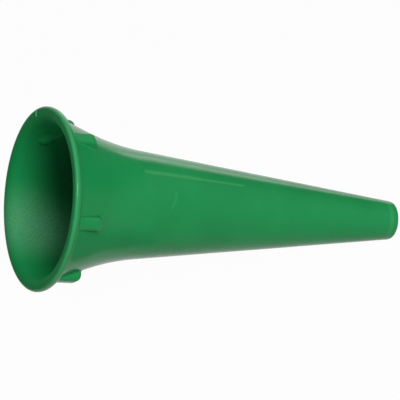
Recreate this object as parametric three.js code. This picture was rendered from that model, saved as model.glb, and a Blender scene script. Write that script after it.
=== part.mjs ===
// Ear speculum: the small funnel that the nose of an ear scope carries, moulded in green plastic.
//
// Units are millimetres and +Z is up. The speculum lies on its side, as it does on a table: the rim
// of its wide mouth and the edge of its tip both touch the surface at z = 0. The mouth is towards -X
// and the tip towards +X. The origin is at the bottom centre of its box.
//
// The real speculum is one moulding, a thin wall of revolution with six short ribs behind its lip and
// two short ramps inside its mouth. It is split here at the borders of those features. Each piece of
// wall ends in a flat ring, square to the axis, that lies on the flat ring of the next piece.
//
// Every piece is made about the X axis, with the mouth at x = 0, and the whole is tilted at the end.

import * as THREE from 'three';

// The wall of revolution
const overallLength = 40.2;
const bellRadius = 8.31;
const socketLength = 4.4;
const flareLength = 10.6;
const neckRadius = 5.465;
const tipRadius = 2;
const socketWall = 0.65;
const tipWall = 0.45;
const noseLength = 3;
const tipEdgeRadius = 0.2;

// The lip round the mouth
const lipThickness = 0.9;
const lipOverhang = 0.87;
const lipFrontRadius = 0.25;
const lipBackRadius = 0.6;
const mouthRadius = 1;

// The ribs on the outside, against the back of the lip. Three stand on one half of the mouth and
// three half a turn on, and the last of each three, over an inner ramp, is longer.
const lugAnglesInDegrees = [-0.8, 62.7, 118.5];
const lugWidth = 1.36;
const lugReach = 3.6;
const longLugReach = 4.1;
const lugHeight = 1.15;
const lugFrontHeight = 0.05;
const lugEndRadius = 0.6;

// The ramps on the inside, which lock the speculum to the ear scope with a short turn
const rampCount = 2;
const rampSetback = 1.8;
const rampRun = 1.2;
const rampTravel = 3.9;
const rampWidth = 1.05;
const rampEndWidth = 0.6;
const rampHeight = 0.55;
const rampAngleInDegrees = 38;

// The gap between a rib or a ramp and the faceted wall that carries it
const seatGap = 0.03;

// Facets round the axis and along the curves. Flat facets lie at the bottom, the sides and the top,
// and each is tangent to the true round, so the faceted part is as wide as the real one.
const sides = 48;
const facetGrowth = 1 / Math.cos(Math.PI / sides);
const arcSteps = 4;
const flareSteps = 8;
const rampSteps = 10;
const rampStepsAcross = 6;
const rampEndPower = 6;
const rampSidePower = 4;

// Sizes that follow from those above. The slope is that of the slim cone, and the rise is how far
// the flare stands out, at the end of the mouth's own cone, past the slim cone carried on.
const lipRadius = bellRadius + lipOverhang;
const lipFrontRound = Math.min(lipFrontRadius, lipThickness / 2);
const lipBackRound = Math.min(lipBackRadius, lipThickness - lipFrontRound, lipOverhang);
const tipRound = Math.min(tipEdgeRadius, tipWall / 2);
const noseStart = overallLength - noseLength;
const flareSpan = flareLength - socketLength;
const coneSlope = (neckRadius - tipRadius) / (overallLength - flareLength);
const lipAhead = flareLength - lipThickness;
const flareRise = (bellRadius - neckRadius - coneSlope * lipAhead) / riseShare(lipAhead);
const mouthSlope = coneSlope + (2 * flareRise) / flareSpan;
const wallTaper = (socketWall - tipWall) / (overallLength - lipThickness);

const green = { color: 0x2b8b50, roughness: 0.38, metalness: 0 };
const darkerGreen = { color: 0x237a45, roughness: 0.42, metalness: 0 };

// The share of the rise at a distance ahead of the neck. It grows with the square of the distance
// along the flare, so that the flare leaves the slim cone without a corner, and then evenly.
function riseShare(ahead) {
  const share = Math.max(ahead, 0) / flareSpan;
  return share < 1 ? share * share : 2 * share - 1;
}

// The outside of the wall: a slim cone, the flare in front of it, and a wider cone at the mouth
function outerRadius(x) {
  const ahead = flareLength - x;
  return neckRadius + coneSlope * ahead + flareRise * riseShare(ahead);
}

// The place where the outside has a given radius: outerRadius solved for x
function placeOfRadius(radius) {
  const inMouth = lipThickness + (bellRadius - radius) / mouthSlope;
  if (inMouth < socketLength) {
    return inMouth;
  }
  const fall = coneSlope * flareSpan;
  const root = Math.sqrt(fall * fall + 4 * flareRise * (radius - neckRadius));
  const share = (root - fall) / (2 * flareRise);
  return flareLength - flareSpan * share;
}

// The wall thins evenly from the lip to the tip
function wallThickness(x) {
  return socketWall - wallTaper * (x - lipThickness);
}

function innerRadius(x) {
  return outerRadius(x) - wallThickness(x);
}

// Places from one x to another, in equal steps
function stations(from, to, steps) {
  return Array.from({ length: steps + 1 }, (_, i) => from + (to - from) * (i / steps));
}

// Points of a round about (x, r), from one angle to another. At 0 degrees a point lies towards the
// tip and at 90 degrees away from the axis.
function roundOff(x, r, radius, fromDegrees, toDegrees) {
  return stations(fromDegrees, toDegrees, arcSteps).map((degrees) => {
    const angle = THREE.MathUtils.degToRad(degrees);
    return [x + radius * Math.cos(angle), r + radius * Math.sin(angle)];
  });
}

// A ring of revolution about X. The profile is a closed loop of [x, r] points that runs along the
// outside towards the tip and comes back along the inside.
function ring(profile) {
  const loop = [...profile, profile[0]];
  const points = loop.map(([x, r]) => new THREE.Vector2(r * facetGrowth, x));
  const geometry = new THREE.LatheGeometry(points, sides, Math.PI / sides);
  geometry.rotateZ(-Math.PI / 2);
  return geometry;
}

// A stretch of the plain wall, between two places on the axis
function wallRing(from, to, steps) {
  const places = stations(from, to, steps);
  const outside = places.map((x) => [x, outerRadius(x)]);
  const inside = places.map((x) => [x, innerRadius(x)]).reverse();
  return ring([...outside, ...inside]);
}

// The lip: a narrow flat ring at the mouth, a rounded rim, and a broad round that leads into the
// mouth. That round is tangent to the flat ring and to the inner wall's slope behind the lip.
function lipRing() {
  const bore = innerRadius(lipThickness);
  const slope = mouthSlope - wallTaper;
  const lean = Math.atan(slope);
  const depthShare = 1 - Math.sin(lean);
  const mouthRound = Math.min(mouthRadius, lipThickness / depthShare);
  const slopedRise = slope * (lipThickness - mouthRound * depthShare);
  const ringRadius = bore + slopedRise + mouthRound * Math.cos(lean);
  const wallEnd = 270 - THREE.MathUtils.radToDeg(lean);
  return ring([
    ...roundOff(lipFrontRound, lipRadius - lipFrontRound, lipFrontRound, 180, 90),
    ...roundOff(lipThickness - lipBackRound, lipRadius - lipBackRound, lipBackRound, 90, 0),
    [lipThickness, bellRadius],
    [lipThickness, bore],
    ...roundOff(mouthRound, ringRadius, mouthRound, wallEnd, 180),
  ]);
}

// The nose: the last stretch of wall, with its outer edge rounded so that it can't scratch
function noseRing() {
  return ring([
    [noseStart, outerRadius(noseStart)],
    ...roundOff(overallLength - tipRound, tipRadius - tipRound, tipRound, 90, 0),
    [overallLength, innerRadius(overallLength)],
    [noseStart, innerRadius(noseStart)],
  ]);
}

// A rib: a slab whose top keeps one distance from the axis and whose foot follows the wall. It
// starts where it comes out of the flare and ends in a rounded corner at its reach. It stands
// along +Y.
function lugBlock(reach) {
  const top = outerRadius(reach) + lugHeight;
  const emerging = placeOfRadius(top - lugFrontHeight - seatGap);
  const start = Math.max(emerging, lipThickness + seatGap);
  const round = Math.min(lugEndRadius, lugHeight / 2);
  const outline = new THREE.Shape();
  outline.moveTo(start, top);
  for (const x of stations(start, reach, flareSteps)) {
    outline.lineTo(x, outerRadius(x) + seatGap);
  }
  outline.lineTo(reach, top - round);
  outline.absarc(reach - round, top - round, round, 0, Math.PI / 2, false);
  const geometry = new THREE.ExtrudeGeometry(outline, {
    depth: lugWidth,
    bevelEnabled: false,
    curveSegments: arcSteps,
  });
  geometry.translate(0, 0, -lugWidth / 2);
  return geometry;
}

// A ramp: a low ridge that climbs the inner wall along a helix, narrows on its way and fades out at
// its borders. The lower sheet follows the wall, the upper one stands rampHeight inside it, and
// they share a border.
function rampRidge() {
  const length = Math.hypot(rampRun, rampTravel);
  const positions = [];
  const addPoint = (u, v, height) => {
    const width = rampWidth + (rampEndWidth - rampWidth) * u;
    const across = width * (v - 1 / 2);
    const x = rampSetback + rampRun * u - (rampTravel / length) * across;
    const travel = rampTravel * u + (rampRun / length) * across;
    const angle = travel / innerRadius(rampSetback);
    const radius = innerRadius(x) - seatGap - height;
    positions.push(x, radius * Math.cos(angle), radius * Math.sin(angle));
  };
  const fade = (share, power) => 1 - Math.abs(2 * share - 1) ** power;
  const row = rampStepsAcross + 1;
  for (let i = 0; i <= rampSteps; i += 1) {
    for (let j = 0; j < row; j += 1) {
      addPoint(i / rampSteps, j / rampStepsAcross, 0);
    }
  }
  for (let i = 0; i <= rampSteps; i += 1) {
    for (let j = 0; j < row; j += 1) {
      const u = i / rampSteps;
      const v = j / rampStepsAcross;
      addPoint(u, v, rampHeight * fade(u, rampEndPower) * fade(v, rampSidePower));
    }
  }
  const upper = row * (rampSteps + 1);
  const isBorder = (i, j) => i === 0 || i === rampSteps || j === 0 || j === rampStepsAcross;
  const lowerIndex = (i, j) => i * row + j;
  const upperIndex = (i, j) => (isBorder(i, j) ? lowerIndex(i, j) : upper + lowerIndex(i, j));
  const indices = [];
  for (let i = 0; i < rampSteps; i += 1) {
    for (let j = 0; j < rampStepsAcross; j += 1) {
      const [a, b] = [lowerIndex(i, j), lowerIndex(i + 1, j)];
      const [c, d] = [lowerIndex(i + 1, j + 1), lowerIndex(i, j + 1)];
      indices.push(a, c, b, a, d, c);
      const [e, f] = [upperIndex(i, j), upperIndex(i + 1, j)];
      const [g, h] = [upperIndex(i + 1, j + 1), upperIndex(i, j + 1)];
      indices.push(e, f, g, e, g, h);
    }
  }
  const geometry = new THREE.BufferGeometry();
  geometry.setAttribute('position', new THREE.Float32BufferAttribute(positions, 3));
  geometry.setIndex(indices);
  geometry.computeVertexNormals();
  return geometry;
}

function piece(name, geometry, finish) {
  const mesh = new THREE.Mesh(geometry, new THREE.MeshStandardMaterial(finish));
  mesh.name = name;
  return mesh;
}

// The speculum about the X axis
function straightSpeculum() {
  const speculum = new THREE.Group();
  speculum.add(piece('mouth_lip', lipRing(), green));
  speculum.add(piece('flared_bell', wallRing(lipThickness, flareLength, flareSteps), green));
  speculum.add(piece('cone_barrel', wallRing(flareLength, noseStart, 1), green));
  speculum.add(piece('tip_nose', noseRing(), green));
  const lugsOnHalf = lugAnglesInDegrees.length;
  for (let i = 0; i < 2 * lugsOnHalf; i += 1) {
    const place = i % lugsOnHalf;
    const reach = place === lugsOnHalf - 1 ? longLugReach : lugReach;
    const lug = piece(`grip_lug_${i + 1}`, lugBlock(reach), darkerGreen);
    const half = Math.floor(i / lugsOnHalf);
    const angle = THREE.MathUtils.degToRad(lugAnglesInDegrees[place]) + half * Math.PI;
    lug.rotation.x = Math.PI - angle;
    speculum.add(lug);
  }
  for (let i = 0; i < rampCount; i += 1) {
    const ramp = piece(`bayonet_ramp_${i + 1}`, rampRidge(), darkerGreen);
    const turn = (i / rampCount) * 2 * Math.PI;
    ramp.rotation.x = THREE.MathUtils.degToRad(rampAngleInDegrees) + turn;
    speculum.add(ramp);
  }
  return speculum;
}

// The tilt at which the rounds of the lip and of the tip touch one flat surface
function restTilt() {
  const along = overallLength - tipRound - (lipThickness - lipBackRound);
  const down = lipRadius - lipBackRound - (tipRadius - tipRound);
  return Math.atan2(down, along) + Math.asin((lipBackRound - tipRound) / Math.hypot(along, down));
}

// The part, tilted to rest on z = 0 and moved until its box stands over the origin
const part = new THREE.Group();
const speculum = straightSpeculum();
speculum.rotation.y = restTilt();
part.add(speculum);
const box = new THREE.Box3().setFromObject(part, true);
const centre = box.getCenter(new THREE.Vector3());
speculum.position.set(-centre.x, -centre.y, -box.min.z);

export default part;
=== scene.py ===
"""The ear speculum's finished surfaces, plastic, light and camera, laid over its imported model.

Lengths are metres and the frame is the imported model's: +Z is up and the speculum lies on z = 0, on
the rim of its mouth and the edge of its tip, with the mouth towards -X and the tip towards +X. Each
piece is worked out in the moulding's own coordinates, where x runs from the mouth along the axis,
and is then laid down as a whole.
"""

import enum
import logging
import math
from dataclasses import dataclass, field
from typing import Any

import bpy
import numpy as np
from mathutils import Matrix, Vector


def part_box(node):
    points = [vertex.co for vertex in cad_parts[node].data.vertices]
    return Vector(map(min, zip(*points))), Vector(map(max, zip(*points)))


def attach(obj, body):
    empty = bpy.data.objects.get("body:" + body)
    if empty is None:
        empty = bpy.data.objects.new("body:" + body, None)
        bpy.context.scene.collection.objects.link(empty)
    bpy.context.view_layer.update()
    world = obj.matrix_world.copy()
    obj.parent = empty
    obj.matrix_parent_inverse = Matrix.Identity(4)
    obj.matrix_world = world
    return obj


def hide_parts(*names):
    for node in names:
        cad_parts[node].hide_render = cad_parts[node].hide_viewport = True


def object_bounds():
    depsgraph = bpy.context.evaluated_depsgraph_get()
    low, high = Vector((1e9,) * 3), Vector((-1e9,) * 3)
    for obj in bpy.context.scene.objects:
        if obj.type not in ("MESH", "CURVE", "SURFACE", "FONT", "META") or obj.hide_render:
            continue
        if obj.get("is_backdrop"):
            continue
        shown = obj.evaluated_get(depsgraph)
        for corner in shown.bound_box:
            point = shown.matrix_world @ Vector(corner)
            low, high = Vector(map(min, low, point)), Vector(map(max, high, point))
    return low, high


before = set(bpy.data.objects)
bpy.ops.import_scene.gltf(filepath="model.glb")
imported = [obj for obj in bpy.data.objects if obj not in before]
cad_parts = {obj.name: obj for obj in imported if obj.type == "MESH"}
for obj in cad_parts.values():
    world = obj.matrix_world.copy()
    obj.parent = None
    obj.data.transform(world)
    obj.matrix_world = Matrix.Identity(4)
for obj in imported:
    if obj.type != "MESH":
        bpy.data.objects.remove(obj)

Array = np.ndarray
Point = tuple[float, float, float]
Colour = tuple[float, float, float]
Span = tuple[float, float]
MM = 0.001
BODY = "root"
SPOT = "spot"
WHITE = (1.0, 1.0, 1.0, 1.0)
LOG = logging.getLogger("speculum")


@dataclass(frozen=True)
class Moulding:
    """The sizes of the speculum's wall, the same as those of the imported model.

    The outside is a slim cone from the tip to the neck. In front of the neck it rises above that
    cone with the square of the distance, and from the end of the mouth's socket evenly, up to the
    bell's radius at the lip.
    """

    overall_length: float = 40.2 * MM
    bell_radius: float = 8.31 * MM
    socket_length: float = 4.4 * MM
    flare_length: float = 10.6 * MM
    neck_radius: float = 5.465 * MM
    tip_radius: float = 2.0 * MM
    socket_wall: float = 0.65 * MM
    tip_wall: float = 0.45 * MM
    nose_length: float = 3.0 * MM
    tip_edge: float = 0.2 * MM
    lip_thickness: float = 0.9 * MM
    lip_overhang: float = 0.87 * MM
    lip_edge: float = 0.25 * MM
    lip_back: float = 0.6 * MM
    mouth_round: float = 1.0 * MM

    @property
    def lip_radius(self) -> float:
        """The largest radius, at the rim of the lip."""
        return self.bell_radius + self.lip_overhang

    @property
    def flare_span(self) -> float:
        """The length of the curved flare, between the socket and the neck."""
        return self.flare_length - self.socket_length

    @property
    def cone_slope(self) -> float:
        """How much radius the straight cone loses for each unit of length."""
        return (self.neck_radius - self.tip_radius) / (self.overall_length - self.flare_length)

    @property
    def flare_rise(self) -> float:
        """How far the flare stands out past the slim cone at the end of the socket.

        Returns:
            The bell's stand past the cone at the back of the lip, over the rise's share there.
        """
        ahead = self.flare_length - self.lip_thickness
        past_cone = self.bell_radius - self.neck_radius - self.cone_slope * ahead
        return past_cone / float(self.rise_share(ahead))

    def rise_share(self, ahead: Array) -> Array:
        """The share of the rise ahead of the neck: the way's square, then from 1 on its tangent."""
        share = np.maximum(ahead, 0.0) / self.flare_span
        return np.where(share < 1.0, share**2, 2.0 * share - 1.0)

    @property
    def outer_slope_at_lip(self) -> float:
        """The outer surface's slope at the back of the lip: the cone's plus the rise's tangent."""
        return self.cone_slope + 2.0 * self.flare_rise / self.flare_span

    @property
    def inner_slope_at_lip(self) -> float:
        """The inner surface's slope there: the outer one less the wall's own taper."""
        taper = (self.socket_wall - self.tip_wall) / (self.overall_length - self.lip_thickness)
        return self.outer_slope_at_lip - taper

    def outer(self, x: Array) -> Array:
        """The outer radius: the neck's, plus the slope times the way ahead of it, plus the rise."""
        ahead = self.flare_length - np.asarray(x, float)
        return self.neck_radius + self.cone_slope * ahead + self.flare_rise * self.rise_share(ahead)

    def inner(self, x: Array) -> Array:
        """The inner radius: the outer one less a wall that thins evenly from the lip to the tip.

        Args:
            x: Places along the axis.

        Returns:
            The radii there.
        """
        x = np.asarray(x, float)
        share = (x - self.lip_thickness) / (self.overall_length - self.lip_thickness)
        return self.outer(x) - (self.socket_wall + (self.tip_wall - self.socket_wall) * share)


@dataclass(frozen=True)
class Seat:
    """How the moulding lies: a tilt about Y, then a move of the mouth's centre."""

    tilt: float
    mouth: Point

    @classmethod
    def from_frame(cls, moulding: Moulding) -> "Seat":
        """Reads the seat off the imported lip's box.

        The rounds of the lip and of the tip touch one plane, which gives the tilt. The lip's lowest
        corner then gives the place of the mouth's centre.

        Args:
            moulding: The sizes of the wall.

        Returns:
            The seat.
        """
        low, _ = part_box("mouth_lip")
        m = moulding
        back = m.lip_thickness - m.lip_back
        reach = m.lip_radius - m.lip_back
        along = m.overall_length - m.tip_edge - back
        down = reach - (m.tip_radius - m.tip_edge)
        rounds = math.asin((m.lip_back - m.tip_edge) / math.hypot(along, down))
        tilt = math.atan2(down, along) + rounds
        front = m.lip_radius - m.lip_edge
        x = low.x - (m.lip_edge * math.cos(tilt) - front * math.sin(tilt) - m.lip_edge)
        z = back * math.sin(tilt) + reach * math.cos(tilt) + m.lip_back
        return cls(tilt=tilt, mouth=(x, 0.0, z))

    def lay(self, points: Array) -> Array:
        """Moves points from the moulding's coordinates to the frame.

        Args:
            points: An array of x, y, z rows.

        Returns:
            The points where the speculum lies.
        """
        c, s = math.cos(self.tilt), math.sin(self.tilt)
        turn = np.array([[c, 0.0, s], [0.0, 1.0, 0.0], [-s, 0.0, c]])
        return points @ turn.T + np.array(self.mouth)


def arc(x: float, r: float, radius: float, start: float, end: float, steps: int) -> Array:
    """Points of a round in the (x, r) plane: centre plus radius times cosine and sine.

    Args:
        x: The centre's place along the axis.
        r: The centre's distance from the axis.
        radius: The round's radius.
        start: The first angle in degrees, 0 towards the tip and 90 away from the axis.
        end: The last angle in degrees.
        steps: How many steps to take.

    Returns:
        The points, one (x, r) row each.
    """
    angle = np.radians(np.linspace(start, end, steps + 1))
    return np.stack([x + radius * np.cos(angle), r + radius * np.sin(angle)], axis=1)


def line(start: Span, end: Span, steps: int) -> Array:
    """Points of a straight stretch in the (x, r) plane, in even steps from its start to its end."""
    return np.linspace(start, end, steps + 1)


def grid_quads(rows: int, columns: int, wrap_rows: bool, wrap_columns: bool) -> Array:
    """The quads of a grid of points numbered row by row.

    Args:
        rows: How many rows of points.
        columns: How many points in a row.
        wrap_rows: Whether the last row joins the first.
        wrap_columns: Whether each row closes on itself.

    Returns:
        One row of four point numbers for each quad.
    """
    i = np.arange(rows if wrap_rows else rows - 1)[:, None]
    j = np.arange(columns if wrap_columns else columns - 1)[None, :]
    below, right = (i + 1) % rows, (j + 1) % columns
    corners = [i * columns + j, below * columns + j, below * columns + right, i * columns + right]
    return np.stack([c + 0 * i + 0 * j for c in corners], axis=-1).reshape(-1, 4)


@dataclass
class Surface:
    """A closed surface in the moulding's coordinates."""

    points: Array
    quads: Array
    caps: list[Array] = field(default_factory=list)

    def volume(self) -> float:
        """The enclosed volume: a sixth of the sum of the triple products of each fan triangle.

        Returns:
            The volume, negative where the faces point inwards.
        """
        total = 0.0
        for face in [self.quads, *[cap[None, :] for cap in self.caps]]:
            fan = self.points[face]
            for k in range(1, face.shape[1] - 1):
                total += np.einsum("ij,ij->", fan[:, 0], np.cross(fan[:, k], fan[:, k + 1]))
        return total / 6.0

    def facing_out(self) -> "Surface":
        """Turns the faces over where they point inwards.

        Returns:
            The same surface with every face pointing outwards.
        """
        if self.volume() >= 0.0:
            return self
        return Surface(self.points, self.quads[:, ::-1], [cap[::-1] for cap in self.caps])


def linked_object(name: str, data: bpy.types.ID) -> bpy.types.Object:
    """Makes an object of a mesh, a lamp or a camera.

    Args:
        name: The object's name.
        data: The mesh, lamp or camera.

    Returns:
        The object, linked to the scene.
    """
    made = bpy.data.objects.new(name, data)
    bpy.context.scene.collection.objects.link(made)
    return made


def flat_object(
    name: str, corners: list[Vector], material: bpy.types.Material
) -> bpy.types.Object:
    """Makes an object of a single face.

    Args:
        name: The object's name.
        corners: The face's corners in the frame.
        material: Its material.

    Returns:
        The object, linked to the scene.
    """
    mesh = bpy.data.meshes.new(name)
    mesh.from_pydata(corners, [], [tuple(range(len(corners)))])
    mesh.materials.append(material)
    return linked_object(name, mesh)


def keep_spots(mesh: bpy.types.Mesh, points: Array) -> None:
    """Keeps each point's place on the moulding in an attribute that the plastic reads.

    The place is the millimetres along the axis, the turns round it and the millimetres that the
    point lies under the outer surface, which at the lip is the radius of its rim.

    Args:
        mesh: The mesh.
        points: Its points in the moulding's coordinates.
    """
    wall = Moulding()
    x, y, z = points.T
    skin = np.where(x < wall.lip_thickness, wall.lip_radius, wall.outer(x))
    depth = skin - np.hypot(y, z)
    turns = np.arctan2(z, -y) / math.tau
    spots = np.stack([x / MM, turns, depth / MM], axis=1)
    attribute = mesh.attributes.new(SPOT, "FLOAT_VECTOR", "POINT")
    attribute.data.foreach_set("vector", spots.astype(np.float32).ravel())


def mesh_object(name: str, surface: Surface, seat: Seat, crease: float) -> bpy.types.Object:
    """Makes a mesh object of a surface, with its place in the mesh and the object at the origin.

    Args:
        name: The object's name.
        surface: The surface in the moulding's coordinates.
        seat: How the moulding lies.
        crease: The angle in degrees above which an edge stays sharp.

    Returns:
        The object, linked to the scene.
    """
    surface = surface.facing_out()
    points = surface.points
    mesh = bpy.data.meshes.new(name)
    mesh.vertices.add(len(points))
    mesh.vertices.foreach_set("co", seat.lay(points).astype(np.float32).ravel())
    faces = [surface.quads, *[cap[None, :] for cap in surface.caps]]
    corners = np.concatenate([face.ravel() for face in faces])
    counts = np.concatenate([np.full(len(face), face.shape[1]) for face in faces])
    mesh.loops.add(len(corners))
    mesh.loops.foreach_set("vertex_index", corners.astype(np.int32))
    mesh.polygons.add(len(counts))
    mesh.polygons.foreach_set("loop_start", (np.cumsum(counts) - counts).astype(np.int32))
    mesh.polygons.foreach_set("use_smooth", np.ones(len(counts), bool))
    mesh.update(calc_edges=True)
    mesh.set_sharp_from_angle(angle=math.radians(crease))
    keep_spots(mesh, points)
    return linked_object(name, mesh)


@dataclass
class Piece:
    """A feature of the moulding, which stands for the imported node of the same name."""

    node: str
    moulding: Moulding
    seat: Seat
    crease: float = 35.0

    def surface(self) -> Surface:
        """The feature's closed surface in the moulding's coordinates."""
        raise NotImplementedError

    def build(self, finish: bpy.types.Material) -> bpy.types.Object:
        """Makes the piece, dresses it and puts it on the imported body.

        Args:
            finish: The material.

        Returns:
            The finished object.
        """
        made = mesh_object(f"{self.node}_moulded", self.surface(), self.seat, self.crease)
        made.data.materials.append(finish)
        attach(made, BODY)
        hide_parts(self.node)
        LOG.info("%s: %d points", made.name, len(made.data.vertices))
        return made


@dataclass
class Ring(Piece):
    """A feature that is a ring of revolution about the axis."""

    around: int = 288

    def profile(self) -> Array:
        """The ring's section: a closed loop of (x, r) rows."""
        raise NotImplementedError

    def surface(self) -> Surface:
        """The section carried round the axis: each (x, r) becomes (x, -r cos a, r sin a).

        Returns:
            The surface, closed along the section and round the axis.
        """
        loop = self.profile()
        angle = np.arange(self.around) / self.around * math.tau
        x = np.repeat(loop[:, :1], self.around, axis=1)
        y = -loop[:, 1:] * np.cos(angle)
        z = loop[:, 1:] * np.sin(angle)
        points = np.stack([x, y, z], axis=-1).reshape(-1, 3)
        return Surface(points, grid_quads(len(loop), self.around, True, True))


@dataclass
class Lip(Ring):
    """The lip: a narrow flat ring, a rounded rim and a broad round that leads into the mouth."""

    ring_steps: int = 4
    rim_steps: int = 14
    shoulder_steps: int = 18
    back_steps: int = 6
    mouth_steps: int = 24

    def profile(self) -> Array:
        """The section from the flat ring over the rim, down the back and out through the mouth.

        The mouth's round is tangent to the ring and to the inner wall's slope at the lip's back.

        Returns:
            The section.
        """
        m = self.moulding
        bore = float(m.inner(m.lip_thickness))
        rim = m.lip_radius - m.lip_edge
        back = m.lip_radius - m.lip_back
        slope = m.inner_slope_at_lip
        lean = math.atan(slope)
        turn = m.mouth_round
        ring = bore + slope * (m.lip_thickness - turn * (1.0 - math.sin(lean)))
        ring += turn * math.cos(lean)
        return np.concatenate([
            line((0.0, ring), (0.0, rim), self.ring_steps)[1:-1],
            arc(m.lip_edge, rim, m.lip_edge, 180.0, 90.0, self.rim_steps),
            arc(m.lip_thickness - m.lip_back, back, m.lip_back, 90.0, 0.0, self.shoulder_steps),
            line((m.lip_thickness, back), (m.lip_thickness, bore), self.back_steps)[1:],
            arc(turn, ring, turn, 270.0 - math.degrees(lean), 180.0, self.mouth_steps),
        ])


@dataclass
class Wall(Ring):
    """A stretch of plain wall between two places on the axis.

    A fillet is the radius of the round that joins its start to the back of the lip.
    """

    start: float = 0.0
    end: float = 0.0
    steps: int = 60
    fillet: float = 0.0
    fillet_steps: int = 10

    def outside(self) -> Array:
        """The outer line. A fillet is tangent to the back of the lip and to the wall's slope there.

        Returns:
            The line's (x, r) rows, towards the tip.
        """
        m = self.moulding
        if not self.fillet:
            places = np.linspace(self.start, self.end, self.steps + 1)
            return np.stack([places, m.outer(places)], axis=1)
        slope, fillet = m.outer_slope_at_lip, self.fillet
        lean = math.atan(slope)
        centre = float(m.outer(self.start)) + fillet * (1.0 / math.cos(lean) - slope)
        end = 270.0 - math.degrees(lean)
        bend = arc(self.start + fillet, centre, fillet, 180.0, end, self.fillet_steps)
        places = np.linspace(bend[-1, 0], self.end, self.steps + 1)[1:]
        return np.concatenate([bend, np.stack([places, m.outer(places)], axis=1)])

    def profile(self) -> Array:
        """The section: the outer line towards the tip and the inner line back.

        Returns:
            The section.
        """
        places = np.linspace(self.end, self.start, self.steps + 1)
        inside = np.stack([places, self.moulding.inner(places)], axis=1)
        return np.concatenate([self.outside(), inside])


@dataclass
class Nose(Ring):
    """The last stretch of the cone, with softened edges at its open end."""

    inner_edge: float = 0.07 * MM
    steps: int = 23
    edge_steps: int = 12
    inner_edge_steps: int = 6

    def profile(self) -> Array:
        """The section: the outer line, the rounded end and the inner line back.

        Returns:
            The section.
        """
        m, inner_edge = self.moulding, self.inner_edge
        begin, end = m.overall_length - m.nose_length, m.overall_length
        bore = float(m.inner(end))
        out = np.linspace(begin, end - m.tip_edge, self.steps + 1)[:-1]
        back = np.linspace(end - inner_edge, begin, self.steps + 1)[1:]
        rim = m.tip_radius - m.tip_edge
        return np.concatenate([
            np.stack([out, m.outer(out)], axis=1),
            arc(end - m.tip_edge, rim, m.tip_edge, 90.0, 0.0, self.edge_steps),
            arc(end - inner_edge, bore + inner_edge, inner_edge, 0.0, -90.0, self.inner_edge_steps),
            np.stack([back, m.inner(back)], axis=1),
        ])


@dataclass
class GripLug(Piece):
    """A short rib behind the lip, with rounded edges and a small round at its foot.

    Its top keeps one distance from the axis, so it comes out of the flare behind the lip and stands
    highest at its end.
    """

    angle: float = 0.0
    reach: float = 3.6 * MM
    width: float = 1.36 * MM
    height: float = 1.15 * MM
    end_round: float = 0.75 * MM
    edge: float = 0.3 * MM
    foot: float = 0.16 * MM
    sunk: float = 0.2 * MM
    run_steps: int = 39
    end_steps: int = 14
    drop_steps: int = 8
    round_steps: int = 6
    top_steps: int = 5

    def spine(self) -> tuple[Array, Array]:
        """The rib's middle line: places along the axis and heights over the wall.

        Returns:
            The places, and the height of the rib's top over the wall at each.
        """
        m = self.moulding
        top = float(m.outer(self.reach)) + self.height
        start, end, bow = m.lip_thickness - self.sunk, self.reach, self.end_round
        level = float(m.outer(end)) + self.foot
        spine = np.concatenate([
            line((start, top), (end - bow, top), self.run_steps),
            arc(end - bow, top - bow, bow, 90.0, 0.0, self.end_steps)[1:],
            line((end, top - bow), (end, level), self.drop_steps)[1:],
            arc(end + self.foot, level, self.foot, 180.0, 270.0, self.round_steps)[1:],
        ])
        x, r = spine.T
        return x, r - m.outer(x)

    def section(self, height: Array, half: Array) -> tuple[Array, Array]:
        """The rib's outline across its width, for each place along it.

        From one foot to the other: a hollow round of the foot's radius, a straight side, a round of
        the edge's radius, the flat top, and the same mirrored. Where the rib is low the rounds
        shrink with it.

        Args:
            height: The height over the wall at each place.
            half: Half the width at each place.

        Returns:
            The distances across and the heights over the wall, one row for each place.
        """
        low = np.maximum(height, 0.0)
        shrink = np.clip(low / (self.edge + self.foot), 0.0, 1.0)[:, None]
        foot, edge = self.foot * shrink, self.edge * shrink
        half, low = half[:, None], low[:, None]
        bend = np.radians(np.linspace(0.0, 90.0, self.round_steps + 1))[None, :]
        foot_t = half + foot - foot * np.sin(bend)
        foot_h = foot - foot * np.cos(bend)
        edge_t = half - edge + edge * np.cos(bend)
        edge_h = low - edge + edge * np.sin(bend)
        flat_t = (half - edge) * np.linspace(1.0, 0.0, self.top_steps + 1)[None, 1:]
        flat_h = low + 0.0 * flat_t
        sunk_t = half + foot
        side_t = np.concatenate([sunk_t, foot_t, edge_t, flat_t], axis=1)
        side_h = np.concatenate([0.0 * sunk_t - self.sunk, foot_h, edge_h, flat_h], axis=1)
        sinking = np.minimum(height, 0.0)[:, None]
        t = np.concatenate([side_t, -side_t[:, -2::-1]], axis=1)
        h = np.concatenate([side_h, side_h[:, -2::-1]], axis=1) + sinking
        return t, h

    def surface(self) -> Surface:
        """The sections laid over the wall and turned to the rib's angle.

        A point stands off the axis by the wall's radius plus its height, at its distance across.

        Returns:
            The surface, closed by a cap at each end.
        """
        x, height = self.spine()
        past = np.clip(x - (self.reach - self.edge), 0.0, self.edge)
        half = self.width / 2.0 - self.edge + np.sqrt(self.edge**2 - past**2)
        t, h = self.section(height, half)
        radius = self.moulding.outer(x)[:, None] + h
        out = np.sqrt(radius**2 - t**2)
        turn = math.radians(self.angle)
        y = -(out * math.cos(turn) - t * math.sin(turn))
        z = out * math.sin(turn) + t * math.cos(turn)
        points = np.stack([np.broadcast_to(x[:, None], t.shape), y, z], axis=-1).reshape(-1, 3)
        rows, columns = t.shape
        quads = grid_quads(rows, columns, False, True)
        first = np.arange(columns)
        last = (rows - 1) * columns + np.arange(columns)[::-1]
        return Surface(points, quads, [first, last])


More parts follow.
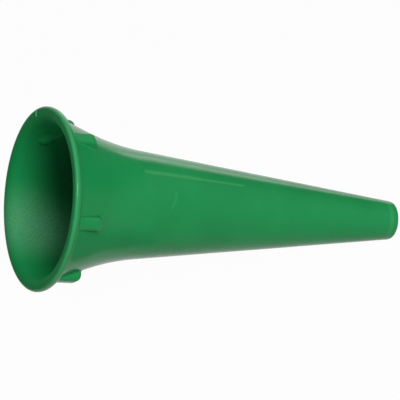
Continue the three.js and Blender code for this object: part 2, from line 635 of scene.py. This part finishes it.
@dataclass
class BayonetRamp(Piece):
    """A low ridge that climbs the inner wall along a helix, narrows and fades out all round."""

    angle: float = 0.0
    setback: float = 1.8 * MM
    run: float = 1.2 * MM
    travel: float = 3.9 * MM
    width: float = 1.05 * MM
    end_width: float = 0.6 * MM
    end_round: float = 0.35 * MM
    height: float = 0.55 * MM
    sunk: float = 0.15 * MM
    steps_along: int = 48
    steps_across: int = 24
    power_along: int = 6
    power_across: int = 4

    def surface(self) -> Surface:
        """Two sheets over one grid that share a border inside the wall.

        The ridge's height is its full height times one minus a high power of the distance from its
        middle, along it and across it. The grid runs along the helix, u, and across it, v.

        Returns:
            The closed surface.
        """
        along = np.linspace(0.0, 1.0, self.steps_along + 1)
        across = np.linspace(0.0, 1.0, self.steps_across + 1)
        u, v = np.meshgrid(along, across, indexing="ij")
        fade = 1.0 - np.abs(2.0 * u - 1.0) ** self.power_along
        fade = fade * (1.0 - np.abs(2.0 * v - 1.0) ** self.power_across)
        upper = self.sheet(u, v, (self.height + self.sunk) * fade - self.sunk)
        lower = self.sheet(u, v, 0.0 * u - self.sunk)
        rows, columns = u.shape
        quads = grid_quads(rows, columns, False, False)
        number = np.arange(rows * columns).reshape(rows, columns)
        inner = np.zeros((rows, columns), bool)
        inner[1:-1, 1:-1] = True
        below = number.copy()
        below[inner] = rows * columns + np.arange(inner.sum())
        points = np.concatenate([upper.reshape(-1, 3), lower[inner]])
        return Surface(points, np.concatenate([quads, below.ravel()[quads][:, ::-1]]))

    def sheet(self, u: Array, v: Array, height: Array) -> Array:
        """Points over the inner wall: along the helix by u, across it by v, inwards by height.

        The near end bulges by end_round in the middle of the ridge and by nothing at its sides.

        Args:
            u: The share of the way along.
            v: The share of the way across.
            height: The height over the inner wall.

        Returns:
            The points.
        """
        length = math.hypot(self.run, self.travel)
        u = u - self.end_round / length * (1.0 - u) * (1.0 - (2.0 * v - 1.0) ** 2)
        across = (self.width + (self.end_width - self.width) * u) * (v - 0.5)
        x = self.setback + self.run * u - self.travel / length * across
        way = self.travel * u + self.run / length * across
        angle = math.radians(self.angle) - way / float(self.moulding.inner(self.setback))
        r = self.moulding.inner(x) - height
        return np.stack([x, -r * np.cos(angle), r * np.sin(angle)], axis=-1)


@dataclass
class Speculum:
    """The whole moulding, feature by feature."""

    moulding: Moulding = field(default_factory=Moulding)
    bell_steps: int = 80
    lip_fillet: float = 0.25 * MM
    lug_angles: tuple[float, ...] = (-0.8, 62.7, 118.5)
    lug_reach: float = 3.6 * MM
    long_lug_reach: float = 4.1 * MM
    ramp_count: int = 2
    ramp_angle: float = 142.0

    @property
    def seat(self) -> Seat:
        """How the speculum lies."""
        return Seat.from_frame(self.moulding)

    def pieces(self) -> list[Piece]:
        """The features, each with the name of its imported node.

        The ribs stand in threes, the second three half a turn on from the first, and the last of
        each three is longer. The ramps are spread evenly round the mouth.

        Returns:
            The features, from the lip to the tip and then what stands on the wall.
        """
        m, seat = self.moulding, self.seat
        neck = m.flare_length
        nose = m.overall_length - m.nose_length
        bell = Wall(
            "flared_bell", m, seat, start=m.lip_thickness, end=neck,
            steps=self.bell_steps, fillet=self.lip_fillet,
        )
        made: list[Piece] = [
            Lip("mouth_lip", m, seat),
            bell,
            Wall("cone_barrel", m, seat, start=neck, end=nose),
            Nose("tip_nose", m, seat),
        ]
        on_half = len(self.lug_angles)
        for i in range(2 * on_half):
            half, place = divmod(i, on_half)
            reach = self.long_lug_reach if place == on_half - 1 else self.lug_reach
            angle = self.lug_angles[place] + 180.0 * half
            made.append(GripLug(f"grip_lug_{i + 1}", m, seat, angle=angle, reach=reach))
        for i in range(self.ramp_count):
            angle = self.ramp_angle + 360.0 * i / self.ramp_count
            made.append(BayonetRamp(f"bayonet_ramp_{i + 1}", m, seat, angle=angle))
        return made


class Value:
    """A socket of a node tree that Python's arithmetic works on."""

    def __init__(self, shader: "Shader", socket: bpy.types.NodeSocket) -> None:
        """Wraps an output socket of a shader's tree."""
        self.shader = shader
        self.socket = socket

    def math(self, operation: str, *others: "Value | float") -> "Value":
        """The result of a Math node on this value and the other operands."""
        return self.shader.math(operation, self, *others)

    def __add__(self, other: "Value | float") -> "Value":
        """Sum."""
        return self.math("ADD", other)

    __radd__ = __add__

    def __mul__(self, other: "Value | float") -> "Value":
        """Product."""
        return self.math("MULTIPLY", other)

    __rmul__ = __mul__

    def __sub__(self, other: "Value | float") -> "Value":
        """Difference."""
        return self.math("SUBTRACT", other)

    def __rsub__(self, other: "Value | float") -> "Value":
        """Difference the other way round."""
        return self.shader.math("SUBTRACT", other, self)


class Shader:
    """Builds the nodes of one tree.

    The sockets of a colour Mix node share their names with those of its other kinds, so they go by
    number.
    """

    MIX_FACTOR, MIX_FIRST, MIX_SECOND, MIX_RESULT = 0, 6, 7, 2

    def __init__(self, tree: bpy.types.NodeTree) -> None:
        """Clears a tree and keeps it."""
        self.tree = tree
        tree.nodes.clear()

    def add(self, kind: str, settings: dict[str, Any], sockets: dict[Any, Any]) -> bpy.types.Node:
        """Adds one node.

        Args:
            kind: The node's type.
            settings: The node's own settings, set first.
            sockets: The values or links of its input sockets, by name or number.

        Returns:
            The node.
        """
        node = self.tree.nodes.new(kind)
        for name, value in settings.items():
            setattr(node, name, value)
        for name, value in sockets.items():
            if isinstance(value, Value):
                value = value.socket
            if isinstance(value, bpy.types.NodeSocket):
                self.tree.links.new(value, node.inputs[name])
            else:
                node.inputs[name].default_value = value
        return node

    def math(self, operation: str, *operands: Value | float) -> Value:
        """The result of a Math node on its operands."""
        node = self.add("ShaderNodeMath", {"operation": operation}, dict(enumerate(operands)))
        return Value(self, node.outputs[0])

    def smooth(self, value: Value, low: float, high: float) -> Value:
        """A soft step.

        Args:
            value: The value to test.
            low: Where the result starts to leave 0.
            high: Where it reaches 1.

        Returns:
            Three times the square of the way between the two, less twice its cube.
        """
        sockets = {"Value": value, "From Min": low, "From Max": high}
        node = self.add("ShaderNodeMapRange", {"interpolation_type": "SMOOTHSTEP"}, sockets)
        return Value(self, node.outputs["Result"])

    def noise(self, place: bpy.types.NodeSocket, scale: float, octaves: float) -> Value:
        """Noise in space: a value about 0.5, with a scale in waves per metre."""
        sockets = {"Vector": place, "Scale": scale, "Detail": octaves}
        return Value(self, self.add("ShaderNodeTexNoise", {}, sockets).outputs["Fac"])

    def vector(self, operation: str, *operands: Any) -> bpy.types.Node:
        """A Vector Math node on links or vectors."""
        sockets = dict(enumerate(operands))
        return self.add("ShaderNodeVectorMath", {"operation": operation}, sockets)

    def distance(self, place: bpy.types.NodeSocket, start: Vector, end: Vector) -> Value:
        """The distance from a point to a straight line between two points.

        The foot of the point on the line is the dot product of its offset and the line, over the
        line's length squared, held between 0 and 1.

        Args:
            place: The point, a link.
            start: One end of the line.
            end: Its other end.

        Returns:
            The distance.
        """
        way = end - start
        offset = self.vector("SUBTRACT", place, start).outputs["Vector"]
        dot = self.vector("DOT_PRODUCT", offset, way / way.length_squared).outputs["Value"]
        foot = Value(self, dot).math("MAXIMUM", 0.0).math("MINIMUM", 1.0)
        sockets = {"Vector": way, "Scale": foot}
        along = self.add("ShaderNodeVectorMath", {"operation": "SCALE"}, sockets)
        gap = self.vector("SUBTRACT", offset, along.outputs["Vector"]).outputs["Vector"]
        return Value(self, self.vector("LENGTH", gap).outputs["Value"])

    def seen_rays(self) -> Value:
        """Tells the rays that show the surroundings from those that light the object.

        Returns:
            1 for camera, glossy and transmission rays, and 0 for the others.
        """
        path = self.add("ShaderNodeLightPath", {}, {})
        camera, glossy, through = (
            Value(self, path.outputs[name])
            for name in ("Is Camera Ray", "Is Glossy Ray", "Is Transmission Ray")
        )
        return camera.math("MAXIMUM", glossy).math("MAXIMUM", through)

    def mix(self, factor: Value, first: Any, second: Any) -> bpy.types.NodeSocket:
        """Mixes two colours.

        Args:
            factor: 0 for the first and 1 for the second.
            first: A colour or a link.
            second: A colour or a link.

        Returns:
            The mixed colour.
        """
        sockets = {self.MIX_FACTOR: factor, self.MIX_FIRST: first, self.MIX_SECOND: second}
        node = self.add("ShaderNodeMix", {"data_type": "RGBA"}, sockets)
        return node.outputs[self.MIX_RESULT]

    def emission(self, strength: float) -> bpy.types.NodeSocket:
        """A white glow of a given strength."""
        sockets = {"Color": WHITE, "Strength": strength}
        return self.add("ShaderNodeEmission", {}, sockets).outputs["Emission"]

    def blend(self, factor: Value, *shaders: bpy.types.NodeSocket) -> bpy.types.NodeSocket:
        """Two shaders mixed, 0 for the first and 1 for the second."""
        sockets = dict(enumerate((factor, *shaders)))
        return self.add("ShaderNodeMixShader", {}, sockets).outputs["Shader"]

    def show(self, shader: bpy.types.NodeSocket) -> None:
        """Makes a shader the surface of the tree's material."""
        self.add("ShaderNodeOutputMaterial", {}, {"Surface": shader})


def new_material(name: str) -> tuple[bpy.types.Material, Shader]:
    """Makes an empty material.

    Args:
        name: The material's name.

    Returns:
        The material and the builder of its nodes.
    """
    material = bpy.data.materials.new(name)
    material.use_nodes = True
    return material, Shader(material.node_tree)


@dataclass(frozen=True)
class Where:
    """What the plastic's patterns read at a point of the surface.

    It is the place in the frame, the millimetres along the axis and under the outer surface, and 0
    outside or 1 inside the mouth.
    """

    place: bpy.types.NodeSocket
    along: Value
    under: Value
    inside: Value


@dataclass(frozen=True)
class Patches:
    """Noise of so many waves per metre, made patches by a soft step from its low to its high."""

    scale: float
    octaves: float
    low: float
    high: float

    def on(self, shader: Shader, where: Where) -> Value:
        """How far a point lies in a patch, from 0 to 1."""
        noise = shader.noise(where.place, self.scale, self.octaves)
        return shader.smooth(noise, self.low, self.high)


@dataclass(frozen=True)
class Coat:
    """How one side of the plastic shines: its least roughness and its specular level."""

    roughness: float
    gloss: float


@dataclass(frozen=True)
class Mark:
    """A pale mark about a straight line between two points in the frame, in mm.

    It is full within its core, a share of its width, and fades to nothing at its width from the
    line.
    """

    start: Point
    end: Point
    width: float
    colour: Colour
    core: float = 0.1

    def on(self, shader: Shader, where: Where) -> Value:
        """How strong the mark is at a point, from 0 to 1."""
        away = shader.distance(where.place, Vector(self.start) * MM, Vector(self.end) * MM)
        return 1.0 - shader.smooth(away, self.core * self.width * MM, self.width * MM)


# painted glint: the bright fleck where a small nick on the lip's rim catches the light
PAINTED_GLINT = (0.250, 0.750, 0.450)
FLOW_LINE = (0.030, 0.288, 0.080)
SCUFF = (0.013, 0.270, 0.076)
# painted light: the pale green of a pool of light on the far wall inside the mouth
PAINTED_LIGHT_PATCH = (0.100, 0.320, 0.170)


@dataclass(frozen=True)
class MouldedGreen:
    """Green polypropylene, coloured right through, as it comes from a polished mould.

    The places along the axis and the depths under the outer surface are in mm.
    """

    name: str = "moulded_green_plastic"
    green: Colour = (0.0088, 0.250, 0.068)
    deep_green: Colour = (0.0072, 0.226, 0.060)
    # painted shade: the darker green that the inside, lip face and back included, is mixed towards
    painted_inner_shade: Colour = (0.0055, 0.120, 0.034)
    # painted highlight: the paler green of the sheen on the rim's front edge and near the tip
    painted_highlight_green: Colour = (0.042, 0.330, 0.118)
    outer_coat: Coat = Coat(0.2, 0.15)
    inner_coat: Coat = Coat(0.5, 0.02)
    ior: float = 1.49
    inside_under: Span = (0.08, 0.3)
    flow: Patches = Patches(160.0, 2.0, 0.35, 0.65)
    # where the painted shade inside deepens, in mm along the axis, and its share at the mouth
    painted_shade_along: Span = (0.8, 4.6)
    least_painted_shade: float = 0.3
    # painted light: a pale pool about a line inside the mouth, partly even and partly in specks
    painted_light_patch: Mark = Mark((-18.60, 6.20, 4.90), (-16.90, 5.20, 3.80), 5.0, PAINTED_LIGHT_PATCH, core=0.0)
    light_patch_specks: Patches = Patches(6000.0, 2.0, 0.35, 0.65)
    light_patch_cover: float = 0.62
    even_light_patch: float = 0.6
    marks: tuple[Mark, ...] = (
        # the first is a painted glint on a nick in the rim; the rest are a flow line and a scuff
        Mark((-17.71, 3.96, 16.95), (-17.77, 3.86, 16.50), 0.16, PAINTED_GLINT),
        Mark((-9.06, -3.55, 11.71), (-6.06, -3.25, 10.90), 0.36, FLOW_LINE),
        Mark((-6.06, -3.25, 10.90), (-3.00, -3.02, 10.05), 0.32, FLOW_LINE),
        Mark((-3.00, -3.02, 10.05), (1.90, -2.65, 8.69), 0.22, FLOW_LINE),
        Mark((-6.25, -4.52, 9.42), (-6.44, -4.85, 8.81), 0.18, SCUFF),
        Mark((-6.44, -4.85, 8.81), (-6.95, -5.14, 8.13), 0.20, SCUFF),
    )
    # painted sheen: a paler band where the tip begins to round
    tip_sheen_starts: Span = (38.9, 39.2)
    tip_sheen_ends: Span = (39.4, 39.7)
    tip_sheen: float = 0.4
    # painted highlight: a paler band on the front of the rim, near its outer skin
    rim_along: Span = (0.2, 0.6)
    rim_under: Span = (0.03, 0.12)
    rim_highlight: float = 0.6
    smudges: Patches = Patches(420.0, 3.0, 0.4, 0.7)
    smudge_roughness: float = 0.05
    peel_scale: float = 900.0
    peel_height: float = 0.6
    grain_scale: float = 9000.0
    grain_height: float = 0.04
    inner_grain_height: float = 0.25
    bump_strength: float = 0.2
    bump_depth: float = 0.03 * MM

    def where(self, shader: Shader) -> Where:
        """Reads the points' places.

        Args:
            shader: The builder of the material's nodes.

        Returns:
            The places, and the mask of the inside, a soft step of the depth.
        """
        place = shader.add("ShaderNodeTexCoord", {}, {}).outputs["Object"]
        spot = shader.add("ShaderNodeAttribute", {"attribute_name": SPOT}, {}).outputs["Vector"]
        parts = shader.add("ShaderNodeSeparateXYZ", {}, {"Vector": spot}).outputs
        along, under = Value(shader, parts["X"]), Value(shader, parts["Z"])
        return Where(place, along, under, shader.smooth(under, *self.inside_under))

    def painted_highlights(self, shader: Shader, where: Where) -> Value:
        """How far painted sheen lightens a band at the tip and a painted highlight the rim's front
        edge.

        Args:
            shader: The builder of the material's nodes.
            where: The points' places.

        Returns:
            The larger of the two, each a product of soft steps.
        """
        starts = shader.smooth(where.along, *self.tip_sheen_starts)
        ends = shader.smooth(where.along, *self.tip_sheen_ends)
        front = shader.smooth(where.along, *self.rim_along)
        skin = shader.smooth(where.under, *self.rim_under)
        # painted sheen on the tip's band, and a painted highlight on the rim's front edge
        tip = starts * (1.0 - ends) * self.tip_sheen
        return tip.math("MAXIMUM", (1.0 - front) * (1.0 - skin) * self.rim_highlight)

    def colour(self, shader: Shader, where: Where) -> bpy.types.NodeSocket:
        """The colour: a drift between two greens, painted shade inside, a painted pool of light,
        marks with a painted glint, and painted highlights.

        Each is mixed over the one before. The painted shade inside, which takes in the lip's face
        and back, deepens away from the mouth. The painted pool of light lies about a line inside the
        mouth, partly evenly and partly in specks.

        Args:
            shader: The builder of the material's nodes.
            where: The points' places.

        Returns:
            The colour.
        """
        flow = self.flow.on(shader, where)
        colour = shader.mix(flow, (*self.deep_green, 1.0), (*self.green, 1.0))
        deep = shader.smooth(where.along, *self.painted_shade_along)
        # painted shade: the inside, lip face and back included, darkens further away from the mouth
        shade = where.inside * (self.least_painted_shade + (1.0 - self.least_painted_shade) * deep)
        # painted light: a pale pool inside the mouth, partly even and partly in specks
        specks = self.even_light_patch + (1.0 - self.even_light_patch) * self.light_patch_specks.on(shader, where)
        painted_light_patch = where.inside * specks * self.painted_light_patch.on(shader, where) * self.light_patch_cover
        layers = [(shade, self.painted_inner_shade), (painted_light_patch, self.painted_light_patch.colour)]
        layers += [(mark.on(shader, where), mark.colour) for mark in self.marks]
        # painted highlights on the rim's front edge and at the tip
        layers += [(self.painted_highlights(shader, where), self.painted_highlight_green)]
        for cover, paint in layers:
            colour = shader.mix(cover, colour, (*paint, 1.0))
        return colour

    def normal(self, shader: Shader, where: Where) -> bpy.types.NodeSocket:
        """The bump: a faint orange peel outside, and a finer satin grain, stronger inside.

        Args:
            shader: The builder of the material's nodes.
            where: The points' places.

        Returns:
            The bumped normal.
        """
        peel = shader.noise(where.place, self.peel_scale, 1.0) * self.peel_height
        grain = shader.noise(where.place, self.grain_scale, 2.0)
        grain = grain * (self.grain_height + self.inner_grain_height * where.inside)
        sockets = {
            "Strength": self.bump_strength,
            "Distance": self.bump_depth,
            "Height": peel * (1.0 - where.inside) + grain,
        }
        return shader.add("ShaderNodeBump", {}, sockets).outputs["Normal"]

    def material(self) -> bpy.types.Material:
        """Makes the material: one colour and bump under two coats, glossy outside, satin inside.

        Returns:
            The material.
        """
        material, shader = new_material(self.name)
        where = self.where(shader)
        colour, normal = self.colour(shader, where), self.normal(shader, where)
        smudge = self.smudges.on(shader, where) * self.smudge_roughness
        coats = []
        for coat in (self.outer_coat, self.inner_coat):
            sockets = {
                "Base Color": colour,
                "Roughness": smudge + coat.roughness,
                "IOR": self.ior,
                "Specular IOR Level": coat.gloss,
                "Normal": normal,
            }
            coats.append(shader.add("ShaderNodeBsdfPrincipled", {}, sockets).outputs["BSDF"])
        shader.show(shader.blend(where.inside, *coats))
        return material


@dataclass(frozen=True)
class PaleFloor:
    """A pale matt floor that shows white to the camera and keeps the object's shadow."""

    name: str = "pale_floor"
    size: float = 6.0
    colour: float = 0.55
    lift: float = 0.97

    def material(self) -> bpy.types.Material:
        """Makes the material: matt pale, with a share of plain white for the rays that see it.

        Returns:
            The material.
        """
        material, shader = new_material(self.name)
        grey = {"Color": (self.colour, self.colour, self.colour, 1.0)}
        matt = shader.add("ShaderNodeBsdfDiffuse", {}, grey).outputs["BSDF"]
        shader.show(shader.blend(shader.seen_rays() * self.lift, matt, shader.emission(1.0)))
        return material

    def build(self) -> bpy.types.Object:
        """Makes the floor, a square about the origin.

        Returns:
            The floor.
        """
        half = self.size / 2.0
        signs = ((-1, -1), (1, -1), (1, 1), (-1, 1))
        corners = [Vector((x * half, y * half, 0.0)) for x, y in signs]
        made = flat_object("floor", corners, self.material())
        made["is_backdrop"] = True
        return made


def direction(azimuth: float, elevation: float) -> Vector:
    """The direction from the object to a place round it.

    Args:
        azimuth: Degrees, 0 towards -Y and growing towards -X.
        elevation: Degrees above the level.

    Returns:
        The unit vector.
    """
    turn, lift = math.radians(azimuth), math.radians(elevation)
    level = math.cos(lift)
    return Vector((-math.sin(turn) * level, -math.cos(turn) * level, math.sin(lift)))


@dataclass(frozen=True)
class DarkCard:
    """A dark card near the object, which shows in its reflections only.

    Its corners are in mm in the frame. Its level is its brightness against the white surround.
    """

    name: str
    corners: tuple[Point, ...]
    level: float

    def build(self) -> bpy.types.Object:
        """Makes the card, hidden from the camera.

        Returns:
            The card.
        """
        material, shader = new_material(self.name)
        shader.show(shader.emission(self.level))
        made = flat_object(self.name, [Vector(corner) * MM for corner in self.corners], material)
        made.visible_camera = False
        made.visible_diffuse = False
        made.visible_shadow = False
        made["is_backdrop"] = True
        return made


@dataclass(frozen=True)
class SoftBox:
    """A rectangular lamp that faces the object, at an azimuth and elevation from it.

    Its distance, width and height are in metres.
    """

    name: str
    azimuth: float
    elevation: float
    distance: float
    width: float
    height: float
    radiance: float

    def build(self, target: Vector) -> bpy.types.Object:
        """Makes the lamp, hidden from the camera.

        Args:
            target: The point that it faces.

        Returns:
            The lamp.
        """
        way = direction(self.azimuth, self.elevation)
        lamp = bpy.data.lights.new(self.name, "AREA")
        lamp.shape = "RECTANGLE"
        lamp.size = self.width
        lamp.size_y = self.height
        lamp.energy = self.radiance * math.pi * self.width * self.height
        made = linked_object(self.name, lamp)
        made.location = target + way * self.distance
        made.rotation_euler = (-way).to_track_quat("-Z", "Y").to_euler()
        made.visible_camera = False
        LOG.info("%s: azimuth %g, elevation %g", made.name, self.azimuth, self.elevation)
        return made


@dataclass(frozen=True)
class Studio:
    """The floor, the lamps, the dark cards and the plain world.

    A compact key lamp stands by the camera, two soft ones above and two behind. One card stands
    past the tip, for the bell's upper side, and a small one lies in front of the bell, for its
    lower side.
    """

    floor: PaleFloor = PaleFloor()
    fill: float = 0.16
    lamps: tuple[SoftBox, ...] = (
        SoftBox("key_lamp", 9.0, 28.0, 0.6, 0.17, 0.17, 29.6),
        SoftBox("front_lamp", 5.0, 52.0, 0.6, 0.4, 0.35, 0.5),
        SoftBox("left_lamp", 58.0, 63.0, 0.6, 0.3, 0.3, 2.6),
        SoftBox("low_back_lamp", 213.0, 8.0, 0.6, 0.28, 0.2, 0.2),
        SoftBox("high_back_lamp", 216.5, 27.5, 0.6, 0.28, 0.11, 2.1),
    )
    cards: tuple[DarkCard, ...] = (
        DarkCard(
            "standing_card", ((530, 530, 2), (440, 297, 540), (598, -217, 406), (705, -256, 2)), 0.2
        ),
        DarkCard(
            "lying_card", ((-15, -5, 0.02), (-7, -5, 0.02), (-3, -16, 0.02), (-15, -16, 0.02)), 0.45
        ),
    )

    def build(self) -> None:
        """Makes the floor, the lamps, which face the object's middle, the cards and the world."""
        self.floor.build()
        low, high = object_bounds()
        target = (Vector(low) + Vector(high)) / 2.0
        for lamp in self.lamps:
            lamp.build(target)
        for card in self.cards:
            card.build()
        self.world()

    def world(self) -> None:
        """Makes the world: white where rays see it, and a plain grey light elsewhere."""
        world = bpy.data.worlds.new("plain_world")
        bpy.context.scene.world = world
        world.use_nodes = True
        shader = Shader(world.node_tree)
        strength = shader.seen_rays() * (1.0 - self.fill) + self.fill
        sockets = {"Color": WHITE, "Strength": strength}
        light = shader.add("ShaderNodeBackground", {}, sockets).outputs["Background"]
        shader.add("ShaderNodeOutputWorld", {}, {"Surface": light})


@dataclass(frozen=True)
class PhotoCamera:
    """The photograph's viewpoint.

    The view's azimuth is 0 along +Y and turns towards +X, and its elevation is how far it looks
    down. The mouth's centre lies at a given pixel of the picture and at a given depth. The focal
    length is in pixels of the 400-pixel picture.
    """

    azimuth: float = 24.65
    elevation: float = 16.8
    roll: float = -0.28
    mouth_pixel: tuple[float, float] = (38.3, 199.0)
    depth: float = 250.0 * MM
    focal_pixels: float = 2536.0
    picture_pixels: float = 400.0
    sensor_mm: float = 36.0
    nearest: float = 10.0 * MM

    def build(self, seat: Seat) -> bpy.types.Object:
        """Makes the camera and sets it as the scene's.

        Args:
            seat: How the moulding lies.

        Returns:
            The camera.
        """
        azimuth, elevation = math.radians(self.azimuth), math.radians(self.elevation)
        ahead = Vector((
            math.sin(azimuth) * math.cos(elevation),
            math.cos(azimuth) * math.cos(elevation),
            -math.sin(elevation),
        ))
        level = Vector((math.cos(azimuth), -math.sin(azimuth), 0.0))
        right = Matrix.Rotation(math.radians(self.roll), 3, ahead) @ level
        up = right.cross(ahead)
        data = bpy.data.cameras.new("photo_camera")
        data.sensor_width = self.sensor_mm
        data.sensor_fit = "HORIZONTAL"
        data.lens = self.focal_pixels / self.picture_pixels * self.sensor_mm
        data.clip_start = self.nearest
        middle = self.picture_pixels / 2.0
        aside = (self.mouth_pixel[0] - middle) / self.focal_pixels
        below = (self.mouth_pixel[1] - middle) / self.focal_pixels
        place = Vector(seat.mouth) - (ahead + right * aside - up * below) * self.depth
        turn = Matrix((right, up, -ahead)).transposed().to_4x4()
        made = linked_object("photo_camera", data)
        made.matrix_world = Matrix.Translation(place) @ turn
        bpy.context.scene.camera = made
        return made


class Output(enum.Enum):
    """The files that the scene writes: none, as it writes no file."""



def main() -> None:
    """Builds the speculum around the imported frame, and then its stage."""
    logging.basicConfig(level=logging.INFO, format="%(name)s %(message)s")
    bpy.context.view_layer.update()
    bpy.context.scene.view_settings.view_transform = "Standard"
    speculum = Speculum()
    PhotoCamera().build(speculum.seat)
    finish = MouldedGreen().material()
    for piece in speculum.pieces():
        piece.build(finish)
    Studio().build()


if __name__ == "__main__":
    main()
